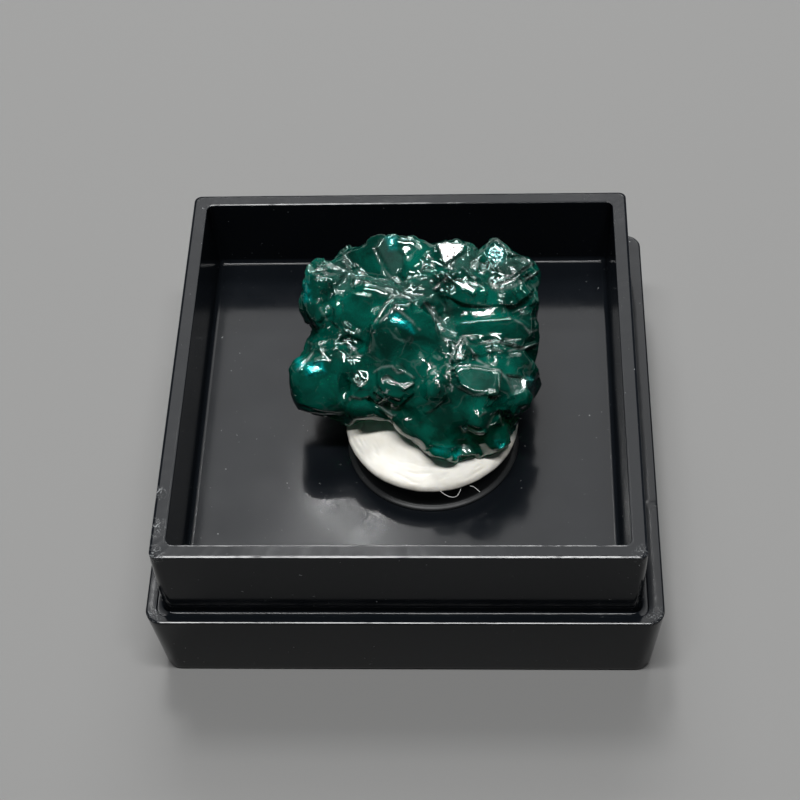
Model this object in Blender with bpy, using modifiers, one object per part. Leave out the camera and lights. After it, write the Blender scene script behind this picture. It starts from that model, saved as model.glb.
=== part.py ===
"""A cluster of dioptase crystals held by white putty on a round black disc, in a small black display box."""

import math

import bmesh
import bpy
from mathutils import Matrix, Vector

MM = 0.001
PARTS_COLLECTION = "dioptase_specimen"
CUTTERS_COLLECTION = "cutters"
MERGE_DISTANCE = 0.01 * MM

# Gap left between two pieces that touch
CONTACT_GAP = 0.3 * MM

# Display box: a square tray on a wider skirt, hollow underneath. The tray stands a little off the skirt's centre.
SKIRT_HALF_BOTTOM = 20.0 * MM
SKIRT_HALF_TOP = 20.55 * MM
SKIRT_CORNER_RADIUS = 1.3 * MM
SHELF_HEIGHT = 8.3 * MM
TRAY_CENTRE = Vector((-0.2 * MM, -0.4 * MM, 0))
TRAY_HALF = 19.0 * MM
TRAY_CORNER_RADIUS = 0.6 * MM
TRAY_ROOT_HEIGHT = 7.5 * MM
RIM_HEIGHT = 16.05 * MM
WELL_HALF_TOP = 17.8 * MM
WELL_HALF_FLOOR = 17.5 * MM
WELL_CORNER_RADIUS = 0.3 * MM
FLOOR_HEIGHT = 8.93 * MM
UNDERSIDE_HALF = 18.5 * MM
UNDERSIDE_CORNER_RADIUS = 0.6 * MM
UNDERSIDE_CEILING = 6.9 * MM
BOX_EDGE_BEVEL = 0.16 * MM
CORNER_SEGMENTS = 4
CUT_MARGIN = 1.5 * MM

# Pedestal disc and the putty on it. Places are from the tray's centre, heights from its floor.
DISC_PLACE = Vector((2.3 * MM, -2.8 * MM, 0))
DISC_RADIUS = 7.15 * MM
DISC_HEIGHT = 2.3 * MM
DISC_EDGE_RADIUS = 0.25 * MM
PUTTY_PLACE = Vector((2.3 * MM, -2.65 * MM, 0))
PUTTY_RADIUS = 7.1 * MM
PUTTY_SIDE = 0.35 * MM
PUTTY_CROWN_HEIGHT = 3.35 * MM
TURNED_STEPS = 56

# Dioptase habit: a six-sided prism that ends in three rhombic faces, each over an edge of the prism
RHOMB_POLE_ANGLE = math.radians(51.0)
CRYSTAL_EDGE_BEVEL = 0.16 * MM
CLEAVED_BASE_HEIGHT = 3.65 * MM
CLEAVED_BASE_HALF = 16.0 * MM

# Crystals, in mm and degrees: the tip's place from the middle of the tray's floor, how far the crystal leans
# from upright and towards which compass direction, the compass direction of one upper face before it leans,
# the width across corners, and the length. Compass directions turn from +X towards +Y.
CRYSTALS = (
    ("roof", (-0.4, 1.1, 13.5), 12, 90, -85, 5.0, 9.5),
    ("roof_twin", (1.1, 1.3, 13.1), 12, 60, -82, 5.6, 9.0),
    ("shoulder", (-3.7, 4.1, 12.2), 30, 195, -75, 8.4, 10.0),
    ("shoulder_step", (-4.3, 1.6, 10.8), 25, 210, -80, 5.4, 8.0),
    ("dark_back", (-4.2, 8.0, 12.4), 8, 150, -70, 6.2, 9.0),
    ("crown_left", (-1.9, 8.8, 13.0), 18, 90, -85, 6.2, 9.0),
    ("crown_ridge", (0.7, 8.8, 12.9), 20, 85, -90, 5.6, 9.0),
    ("crown_middle", (2.9, 7.6, 13.2), 15, 60, -90, 5.6, 9.0),
    ("crown_chip", (3.1, 4.6, 13.0), 20, 30, -60, 2.2, 5.0),
    ("crown_white", (4.6, 8.5, 13.0), 20, 70, -90, 4.8, 9.0),
    ("crown_right", (7.6, 8.8, 12.3), 12, 70, -80, 4.2, 8.0),
    ("step_left", (5.0, 5.4, 13.0), 5, 90, -85, 3.2, 7.0),
    ("step_right", (9.1, 7.0, 12.6), 10, 60, -100, 5.2, 9.0),
    ("breast_left", (6.0, 4.6, 12.8), 5, 90, -85, 5.6, 10.0),
    ("breast_right", (9.5, 4.2, 12.2), 8, 60, -85, 3.8, 9.0),
    ("spire", (5.0, -2.2, 11.4), 28, -90, -30, 2.7, 5.0),
    ("block", (6.0, -7.8, 8.1), 84, -92, 120, 6.8, 8.0),
    ("block_right", (8.8, -5.6, 8.4), 58, -65, -90, 5.2, 8.0),
    ("bead_left", (8.0, -1.6, 11.0), 15, -60, -60, 3.0, 6.0),
    ("bead_right", (9.9, -1.7, 10.3), 30, -30, -90, 3.4, 6.0),
    ("patch", (9.3, -4.2, 10.0), 40, -40, -100, 3.6, 6.0),
    ("waist", (-2.2, -1.6, 10.7), 28, -110, -90, 6.0, 8.0),
    ("waist_right", (1.8, -2.8, 10.8), 22, -80, -85, 5.6, 8.0),
    ("belly", (2.9, -5.4, 10.4), 30, -100, -80, 5.0, 8.0),
    ("button", (-0.2, -5.0, 10.3), 42, -90, -90, 4.0, 7.0),
    ("button_chip", (-3.6, -4.0, 8.8), 50, -120, -60, 2.2, 5.0),
    ("left_lobe", (-9.1, -1.9, 8.9), 50, -160, -50, 7.0, 7.5),
    ("left_crest", (-7.5, 0.3, 9.8), 36, 195, -60, 4.4, 7.0),
    ("left_post", (-6.8, 8.4, 11.0), 62, 105, -75, 4.8, 9.5),
    ("left_post_low", (-8.6, 4.6, 9.4), 50, 175, -90, 4.2, 7.0),
    ("left_foot", (-6.4, -3.2, 7.4), 50, -120, -60, 5.4, 8.0),
    ("left_gully", (-5.2, -1.2, 9.7), 35, -120, -90, 4.4, 8.0),
    ("gully_chip", (-3.9, -2.2, 9.9), 20, -100, -30, 2.0, 5.0),
    ("left_toe", (-6.1, -4.3, 5.5), 62, -125, -90, 5.2, 7.0),
    ("chin", (1.4, -6.0, 8.2), 45, -110, -90, 4.8, 8.0),
    ("chin_left", (-0.2, -4.9, 7.6), 40, -105, -60, 4.6, 7.0),
    ("lower_lobe", (3.8, -7.4, 7.2), 50, -85, -60, 5.8, 8.0),
    ("right_foot", (7.5, -7.4, 5.4), 60, -78, -30, 6.0, 8.0),
    ("right_toe", (9.4, -4.8, 7.8), 50, -35, -60, 4.6, 7.0),
    ("toe", (4.4, -8.2, 5.0), 65, -95, -90, 5.6, 6.0),
    ("right_flank", (11.1, 2.2, 9.4), 55, 10, -90, 5.4, 8.0),
    ("right_flank_low", (11.1, -1.9, 8.6), 60, -10, -60, 5.2, 8.0),
    ("back_left", (-5.0, 8.6, 8.2), 75, 110, -90, 5.8, 8.0),
    ("back_middle", (0.2, 9.4, 8.6), 75, 90, -60, 6.0, 8.0),
    ("back_right", (5.4, 9.6, 8.2), 75, 80, -90, 5.8, 8.0),
    ("back_corner", (9.6, 8.0, 7.6), 75, 45, -90, 5.0, 8.0),
)

# Rounded lumps where crystals have grown together, in mm: place of the middle, and half sizes
LUMPS = (
    ("core", (1.0, 1.0, 7.0), (7.6, 5.6, 3.0)),
    ("breast_bulge", (7.0, 1.4, 8.5), (3.7, 2.3, 2.3)),
    ("lower_bulge", (5.2, -4.8, 5.8), (3.4, 2.2, 2.2)),
)


def clear_scene():
    for item in list(bpy.data.objects):
        bpy.data.objects.remove(item, do_unlink=True)


def new_collection(name):
    collection = bpy.data.collections.new(name)
    bpy.context.scene.collection.children.link(collection)
    return collection


def principled(name, colour, roughness):
    material = bpy.data.materials.new(name)
    material.use_nodes = True
    shader = material.node_tree.nodes["Principled BSDF"]
    shader.inputs["Base Color"].default_value = (*colour, 1.0)
    shader.inputs["Roughness"].default_value = roughness
    shader.inputs["Metallic"].default_value = 0.0
    return material


def black_plastic(name, roughness):
    return principled(name, (0.012, 0.013, 0.015), roughness)


def white_putty():
    return principled("white_putty", (0.86, 0.84, 0.78), 0.6)


def dioptase_green():
    material = principled("dioptase_green", (0.0, 0.3, 0.19), 0.05)
    shader = material.node_tree.nodes["Principled BSDF"]
    shader.inputs["Transmission Weight"].default_value = 0.85
    shader.inputs["IOR"].default_value = 1.67
    return material


def link_mesh(name, bm, collection, material=None):
    """Make an object of a bmesh and free the bmesh."""
    mesh = bpy.data.meshes.new(name)
    bm.to_mesh(mesh)
    bm.free()
    if material:
        mesh.materials.append(material)
    item = bpy.data.objects.new(name, mesh)
    collection.objects.link(item)
    return item


def add_boolean(target, cutter, operation):
    cutter.hide_render = True
    cutter.display_type = "WIRE"
    modifier = target.modifiers.new(cutter.name, "BOOLEAN")
    modifier.operation = operation
    modifier.object = cutter
    modifier.solver = "EXACT"


def square_block(halves, heights, corner_radius, centre=Vector((0, 0, 0))):
    """A square block, with its own half width at its bottom and at its top, and rounded upright edges."""
    bm = bmesh.new()
    bmesh.ops.create_cube(bm, size=2.0)
    for vertex in bm.verts:
        level = 1 if vertex.co.z > 0 else 0
        vertex.co.x = centre.x + vertex.co.x * halves[level]
        vertex.co.y = centre.y + vertex.co.y * halves[level]
        vertex.co.z = heights[level]
    upright = [edge for edge in bm.edges if edge.verts[0].co.z != edge.verts[1].co.z]
    bmesh.ops.bevel(
        bm, geom=upright, offset=corner_radius, segments=CORNER_SEGMENTS, profile=0.5, affect="EDGES",
    )
    return bm


def make_display_box(parts, cutters):
    outside = square_block((SKIRT_HALF_BOTTOM, SKIRT_HALF_TOP), (0, SHELF_HEIGHT), SKIRT_CORNER_RADIUS)
    tray = square_block(
        (TRAY_HALF, TRAY_HALF), (TRAY_ROOT_HEIGHT, RIM_HEIGHT), TRAY_CORNER_RADIUS, TRAY_CENTRE,
    )
    well = square_block(
        (WELL_HALF_FLOOR, WELL_HALF_TOP), (FLOOR_HEIGHT, RIM_HEIGHT + CUT_MARGIN), WELL_CORNER_RADIUS,
        TRAY_CENTRE,
    )
    underside = square_block(
        (UNDERSIDE_HALF, UNDERSIDE_HALF), (-CUT_MARGIN, UNDERSIDE_CEILING), UNDERSIDE_CORNER_RADIUS,
    )
    box = link_mesh("display_box", outside, parts, black_plastic("black_box_plastic", 0.18))
    add_boolean(box, link_mesh("tray_block", tray, cutters), "UNION")
    add_boolean(box, link_mesh("tray_well", well, cutters), "DIFFERENCE")
    add_boolean(box, link_mesh("underside_hollow", underside, cutters), "DIFFERENCE")
    edges = box.modifiers.new("moulded_edges", "BEVEL")
    edges.limit_method = "ANGLE"
    edges.angle_limit = math.radians(50)
    edges.width = BOX_EDGE_BEVEL
    edges.segments = 2


def turned_piece(name, profile, place, collection, material):
    """Turn a profile about the upright axis. It runs from the axis at the top, down the outside, to the axis."""
    bm = bmesh.new()
    points = [bm.verts.new((radius, 0, height)) for radius, height in profile]
    for first, second in zip(points, points[1:]):
        bm.edges.new((first, second))
    item = link_mesh(name, bm, collection, material)
    item.location = TRAY_CENTRE + place + Vector((0, 0, FLOOR_HEIGHT))
    screw = item.modifiers.new("turned", "SCREW")
    screw.steps = TURNED_STEPS
    screw.render_steps = TURNED_STEPS
    screw.use_merge_vertices = True
    screw.merge_threshold = MERGE_DISTANCE
    screw.use_smooth_shade = True
    return item


def quarter_round(radius, top, edge, steps=3):
    """Profile points of a rounded upper edge, from the flat top to the upright side."""
    points = []
    for step in range(steps + 1):
        angle = math.radians(90 * step / steps)
        points.append((radius - edge + edge * math.sin(angle), top - edge + edge * math.cos(angle)))
    return points


def make_pedestal(parts):
    profile = [(0, DISC_HEIGHT)]
    profile += quarter_round(DISC_RADIUS, DISC_HEIGHT, DISC_EDGE_RADIUS)
    profile += [(DISC_RADIUS, CONTACT_GAP), (0, CONTACT_GAP)]
    turned_piece("pedestal", profile, DISC_PLACE, parts, black_plastic("black_disc_plastic", 0.3))


def make_putty(parts):
    """A low dome that bulges at its rim, with a flat underside on the disc."""
    bottom = DISC_HEIGHT + CONTACT_GAP
    rim = bottom + PUTTY_SIDE
    profile = [(0, PUTTY_CROWN_HEIGHT)]
    for share in (0.35, 0.6, 0.8, 0.92, 0.98):
        rise = (PUTTY_CROWN_HEIGHT - rim) * math.sqrt(1 - share**2)
        profile.append((PUTTY_RADIUS * share, rim + rise))
    profile += [(PUTTY_RADIUS, rim), (PUTTY_RADIUS * 0.98, bottom), (0, bottom)]
    turned_piece("putty", profile, PUTTY_PLACE, parts, white_putty())


def crystal_bmesh(width, length):
    """A crystal with its upper tip at the origin, hanging down along -Z."""
    bm = bmesh.new()
    bmesh.ops.create_cone(
        bm, cap_ends=True, segments=6, radius1=width / 2, radius2=width / 2, depth=length,
        matrix=Matrix.Translation((0, 0, -length / 2)),
    )
    for tip, sign in ((Vector((0, 0, 0)), 1), (Vector((0, 0, -length)), -1)):
        for third in range(3):
            turn = sign * math.radians(90 + 120 * third)
            across = math.sin(RHOMB_POLE_ANGLE)
            pole = Vector((across * math.cos(turn), across * math.sin(turn), sign * math.cos(RHOMB_POLE_ANGLE)))
            cut = bmesh.ops.bisect_plane(
                bm, geom=bm.verts[:] + bm.edges[:] + bm.faces[:], plane_co=tip, plane_no=pole,
                clear_outer=True,
            )
            rim = [part for part in cut["geom_cut"] if isinstance(part, bmesh.types.BMEdge)]
            bmesh.ops.edgeloop_fill(bm, edges=rim)
    bmesh.ops.remove_doubles(bm, verts=bm.verts, dist=MERGE_DISTANCE)
    bmesh.ops.recalc_face_normals(bm, faces=bm.faces)
    bmesh.ops.bevel(bm, geom=bm.edges[:], offset=CRYSTAL_EDGE_BEVEL, segments=1, profile=0.5, affect="EDGES")
    return bm


def on_floor(point):
    """A place in mm from the middle of the tray's floor, as a place in the model."""
    return TRAY_CENTRE + Vector(point) * MM + Vector((0, 0, FLOOR_HEIGHT))


def crystal_place(tip, lean, toward, face):
    heading = math.radians(toward)
    hinge = Vector((-math.sin(heading), math.cos(heading), 0))
    leaning = Matrix.Rotation(math.radians(lean), 4, hinge)
    turning = Matrix.Rotation(math.radians(face - 90), 4, "Z")
    return Matrix.Translation(on_floor(tip)) @ leaning @ turning


def lump_bmesh(middle, half_sizes):
    stretch = Matrix.Diagonal((*(Vector(half_sizes) * MM), 1.0))
    bm = bmesh.new()
    bmesh.ops.create_icosphere(
        bm, subdivisions=3, radius=1.0, matrix=Matrix.Translation(on_floor(middle)) @ stretch,
    )
    return bm


def make_cluster(parts, cutters):
    """All crystals and lumps joined in one solid, broken off flat where the putty holds it."""
    bodies = {}
    for name, tip, lean, toward, face, width, length in CRYSTALS:
        bodies[name] = crystal_bmesh(width * MM, length * MM)
        bodies[name].transform(crystal_place(tip, lean, toward, face))
    for name, middle, half_sizes in LUMPS:
        bodies[name] = lump_bmesh(middle, half_sizes)
    cluster = link_mesh("dioptase_cluster", bodies.pop(CRYSTALS[0][0]), parts, dioptase_green())
    for name, bm in bodies.items():
        add_boolean(cluster, link_mesh(name, bm, cutters), "UNION")
    base_top = FLOOR_HEIGHT + CLEAVED_BASE_HEIGHT
    base = square_block(
        (CLEAVED_BASE_HALF, CLEAVED_BASE_HALF), (0, base_top), SKIRT_CORNER_RADIUS, TRAY_CENTRE,
    )
    add_boolean(cluster, link_mesh("below_cleaved_base", base, cutters), "DIFFERENCE")


def main():
    clear_scene()
    parts = new_collection(PARTS_COLLECTION)
    cutters = new_collection(CUTTERS_COLLECTION)
    make_display_box(parts, cutters)
    make_pedestal(parts)
    make_putty(parts)
    make_cluster(parts, cutters)


main()
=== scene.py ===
"""Looks of a dioptase cluster held by white putty on a black disc, in a small black display box."""

import math

import bmesh
import bpy
import numpy as np
from mathutils import Matrix, Vector, noise
from mathutils.bvhtree import BVHTree
from mathutils.kdtree import KDTree


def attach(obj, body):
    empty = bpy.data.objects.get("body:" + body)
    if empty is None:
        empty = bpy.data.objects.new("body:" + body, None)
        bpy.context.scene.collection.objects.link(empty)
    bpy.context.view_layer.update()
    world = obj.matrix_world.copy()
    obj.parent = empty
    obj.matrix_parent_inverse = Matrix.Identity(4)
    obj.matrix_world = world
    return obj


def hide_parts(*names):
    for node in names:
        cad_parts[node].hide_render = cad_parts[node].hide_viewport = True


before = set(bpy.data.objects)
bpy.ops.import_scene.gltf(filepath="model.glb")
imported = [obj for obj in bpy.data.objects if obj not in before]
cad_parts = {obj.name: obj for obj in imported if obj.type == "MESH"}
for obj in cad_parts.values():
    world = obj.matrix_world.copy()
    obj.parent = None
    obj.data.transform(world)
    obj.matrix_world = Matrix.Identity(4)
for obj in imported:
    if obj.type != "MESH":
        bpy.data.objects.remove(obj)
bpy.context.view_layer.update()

MM = 0.001

# The photograph's camera: size of the picture in pixels, lens, place, and angles in degrees
PHOTO_SIZE = 800
SENSOR_MM = 36.0
LENS_MM = 83.10
CAMERA_PLACE = Vector((7.332, -94.952, 134.017)) * MM
CAMERA_AZIMUTH = 4.8481
CAMERA_ELEVATION = 52.3646
CAMERA_ROLL = -4.0791

# Lamps that glint on the crystals and the box: azimuth, elevation, width and height in metres, radiance
LAMPS = {
    "overhead_strip": (0, 82, 0.36, 0.045, 46.0),
    "back_strip": (180, 38, 0.34, 0.022, 30.0),
    "facet_lamp": (196, 66, 0.085, 0.085, 32.0),
}
LAMP_DISTANCE = 0.55
AIM = Vector((0.8, 0.5, 17.0)) * MM

# Places of the box's parts, as in the CAD model
TRAY_CENTRE = (-0.2 * MM, -0.4 * MM)
DISC_CENTRE = (2.1 * MM, -3.2 * MM)
PUTTY_CENTRE = (2.1 * MM, -3.05 * MM)
SKIRT_CORNER = 1.3
CORNER_STEPS = 8
SIDE_STEPS = 150

# Scuffed corners and edges of the box, and painted speckled highlights on the tray's floor where it mirrors
# the glint lamps: place and reach in mm
WORN_AND_GLINT_PLACES = (
    ((-19.1, -19.3, 16.0), 1.3),
    ((18.7, -19.3, 16.0), 1.3),
    ((-19.0, -16.6, 16.1), 1.1),
    ((-19.0, -13.4, 16.1), 0.8),
    ((-19.9, -19.9, 8.3), 0.8),
    ((19.9, -19.9, 8.3), 1.1),
    ((-6.4, -9.8, 8.93), 1.2),
    ((-2.7, -11.7, 8.93), 1.7),
)

# Nicks and chips in the box: photograph pixel, height, radius and depth in mm
CHIPS = (
    ((631, 441), 16.0, 0.24, 0.08),
    ((635, 442), 16.0, 0.24, 0.08),
    ((634, 478), 16.0, 0.24, 0.09),
    ((638, 482), 16.0, 0.24, 0.09),
    ((656, 503), 8.3, 0.30, 0.08),
)

# Lint, as paths of photograph pixels: the putty's hairs with their height in mm, and threads on the skirt
HAIR_RADIUS = 0.022 * MM
PUTTY_HAIRS = (
    (((438, 489), (444, 494), (451, 497), (457, 496), (461, 489)), 11.5),
    (((470, 486), (474, 487), (480, 492)), 11.5),
)
SKIRT_LINT = (
    ((267, 638), (271, 640), (276, 638)),
    ((223, 658), (226, 661), (230, 662)),
    ((302, 665), (306, 666), (310, 665)),
    ((584, 634), (589, 634), (594, 635)),
    ((597, 654), (600, 656), (603, 657)),
)

# Crystal surface: its mesh, how far a vertex may slide to a flat face, and the fields that its material reads
CRYSTAL_VOXEL = 0.126 * MM
CREVICE_FILL = 0.8 * MM
EDGE_ROUNDING = 0.35 * MM
EDGE_SMOOTHING = 3
SOFT_SEEN_ROUNDS = 6
SIGHT_CLEARANCE = 0.03 * MM
FACET_TRAVEL = 0.6 * MM
STORED_FIELDS = ("veil_and_sheen", "bruise_and_highlight", "cyan", "glow", "speckle", "flatness")


def direction_from(azimuth, elevation):
    """Unit direction. Azimuth 0 is in front, 90 to the right and 180 behind."""
    level = math.cos(math.radians(elevation))
    turn = math.radians(azimuth)
    return Vector((math.sin(turn) * level, -math.cos(turn) * level, math.sin(math.radians(elevation))))


def mirror_normal(place, lamp):
    """The way a face looks that mirrors a lamp to the camera from a given place."""
    azimuth, elevation = LAMPS[lamp][:2]
    place = Vector(place)
    to_lamp = AIM + direction_from(azimuth, elevation) * LAMP_DISTANCE - place
    return to_lamp.normalized() + (CAMERA_PLACE - place).normalized()


def camera_axes():
    """The camera's right, up and back directions."""
    back = direction_from(CAMERA_AZIMUTH, CAMERA_ELEVATION)
    turn = math.radians(CAMERA_AZIMUTH)
    side = Vector((math.cos(turn), math.sin(turn), 0))
    rise = back.cross(side)
    roll = Matrix.Rotation(math.radians(CAMERA_ROLL), 3, back)
    return roll @ side, roll @ rise, back


RIGHT, UP, BACK = camera_axes()
FOCAL_PIXELS = PHOTO_SIZE * LENS_MM / SENSOR_MM


def make_camera():
    data = bpy.data.cameras.new("photo_camera")
    data.sensor_width = SENSOR_MM
    data.lens = LENS_MM
    data.clip_start = 0.005
    data.clip_end = 5.0
    item = bpy.data.objects.new("photo_camera", data)
    item.matrix_world = Matrix.Translation(CAMERA_PLACE) @ Matrix((RIGHT, UP, BACK)).transposed().to_4x4()
    bpy.context.scene.collection.objects.link(item)
    bpy.context.scene.camera = item


def to_pixels(places):
    """Where places in the model fall in the photograph, as an array of x, y."""
    offset = places - np.array(CAMERA_PLACE)
    depth = -offset @ np.array(BACK)
    across = offset @ np.array(RIGHT)
    rise = offset @ np.array(UP)
    half = PHOTO_SIZE / 2
    return np.stack([half + FOCAL_PIXELS * across / depth, half - FOCAL_PIXELS * rise / depth], axis=1)


def pixel_ray(x, y):
    """Direction from the camera through a pixel of the photograph."""
    half = PHOTO_SIZE / 2
    ray = RIGHT * ((x - half) / FOCAL_PIXELS) - UP * ((y - half) / FOCAL_PIXELS) - BACK
    return ray.normalized()


def pixel_on_level(x, y, height):
    """The place at a given height that a pixel of the photograph shows."""
    ray = pixel_ray(x, y)
    return CAMERA_PLACE + ray * ((height - CAMERA_PLACE.z) / ray.z)


def add_object(name, mesh, material=None):
    item = bpy.data.objects.new(name, mesh)
    bpy.context.scene.collection.objects.link(item)
    if material:
        mesh.materials.clear()
        mesh.materials.append(material)
    return item


def mesh_from(bm, name):
    mesh = bpy.data.meshes.new(name)
    bm.to_mesh(mesh)
    bm.free()
    return mesh


def settle_modifiers(item):
    """Replace the object's mesh by the result of its modifiers."""
    graph = bpy.context.evaluated_depsgraph_get()
    mesh = bpy.data.meshes.new_from_object(item.evaluated_get(graph))
    item.modifiers.clear()
    item.data = mesh


def read_vectors(collection, field):
    values = np.empty(len(collection) * 3, dtype=np.float32)
    collection.foreach_get(field, values)
    return values.reshape(-1, 3).astype(np.float64)


def write_places(mesh, places):
    mesh.vertices.foreach_set("co", places.astype(np.float32).ravel())
    mesh.update()


def smoothstep(low, high, values):
    share = np.clip((values - low) / (high - low), 0, 1)
    return share * share * (3 - 2 * share)


def noise_field(places, scale, seed):
    """Smooth noise from -1 to 1 whose lumps are about one scale apart."""
    shift = Vector((seed * 7.13, seed * 3.71, seed * 5.37))
    return np.array([noise.noise(Vector(place) / scale + shift) for place in places])


def scattered_cells(places, spacing, seed):
    """For every place, the nearest of loosely scattered middles and that middle's own random direction."""
    base = np.floor(places / spacing).astype(int)
    low = base.min(axis=0) - 1
    size = base.max(axis=0) - low + 2
    random = np.random.default_rng(seed)
    jitter = random.random((*size, 3))
    directions = random.uniform(-1, 1, (*size, 3))
    nearest = np.full(len(places), np.inf)
    middles, turned = np.zeros(places.shape), np.zeros(places.shape)
    for shift in np.ndindex(3, 3, 3):
        cell = base + np.array(shift) - 1
        index = tuple((cell - low).T)
        middle = (cell + jitter[index]) * spacing
        away = np.linalg.norm(places - middle, axis=1)
        nearer = away < nearest
        nearest[nearer] = away[nearer]
        middles[nearer] = middle[nearer]
        turned[nearer] = directions[index][nearer]
    return middles, turned


def bent_line_distance(pixels, points):
    """Signed distance in pixels to a bent line, positive above it where it runs from left to right."""
    nearest = np.full(len(pixels), np.inf)
    signed = np.zeros(len(pixels))
    ends = np.zeros(len(pixels))
    for index, (start, stop) in enumerate(zip(points, points[1:])):
        start = np.array(start, dtype=float)
        along = np.array(stop, dtype=float) - start
        length = np.linalg.norm(along)
        along /= length
        offset = pixels - start
        travel = offset @ along
        across = offset[:, 0] * along[1] - offset[:, 1] * along[0]
        beyond = np.maximum(np.maximum(-travel, travel - length), 0)
        distance = np.hypot(beyond, across)
        closer = distance < nearest
        nearest = np.where(closer, distance, nearest)
        signed = np.where(closer, np.sign(across) * distance, signed)
        past_end = np.zeros(len(pixels))
        if index == 0:
            past_end = np.maximum(past_end, -travel)
        if index == len(points) - 2:
            past_end = np.maximum(past_end, travel - length)
        ends = np.where(closer, past_end, ends)
    return signed, ends


def polygon_distance(pixels, points):
    """Signed distance in pixels to a polygon's outline, positive inside."""
    nearest = np.full(len(pixels), np.inf)
    inside = np.zeros(len(pixels), dtype=bool)
    for start, stop in zip(points, points[1:] + points[:1]):
        start = np.array(start, dtype=float)
        stop = np.array(stop, dtype=float)
        along = stop - start
        share = np.clip(((pixels - start) @ along) / (along @ along), 0, 1)
        nearest = np.minimum(nearest, np.linalg.norm(pixels - start - share[:, None] * along, axis=1))
        crosses = (start[1] > pixels[:, 1]) != (stop[1] > pixels[:, 1])
        rise = along[1] if along[1] else 1e-9
        cross_x = start[0] + (pixels[:, 1] - start[1]) * along[0] / rise
        inside ^= crosses & (pixels[:, 0] < cross_x)
    return np.where(inside, nearest, -nearest)


def outline_reach(outline, middle, across, down):
    """How far an outline lies from a point in one direction."""
    reach = 0.0
    for (x1, y1), (x2, y2) in zip(outline, outline[1:] + outline[:1]):
        x1, y1, x2, y2 = x1 - middle[0], y1 - middle[1], x2 - middle[0], y2 - middle[1]
        side1, side2 = across * y1 - down * x1, across * y2 - down * x2
        if side1 * side2 > 0 or side1 == side2:
            continue
        share = side1 / (side1 - side2)
        reach = max(reach, across * (x1 + share * (x2 - x1)) + down * (y1 + share * (y2 - y1)))
    return reach


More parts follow.
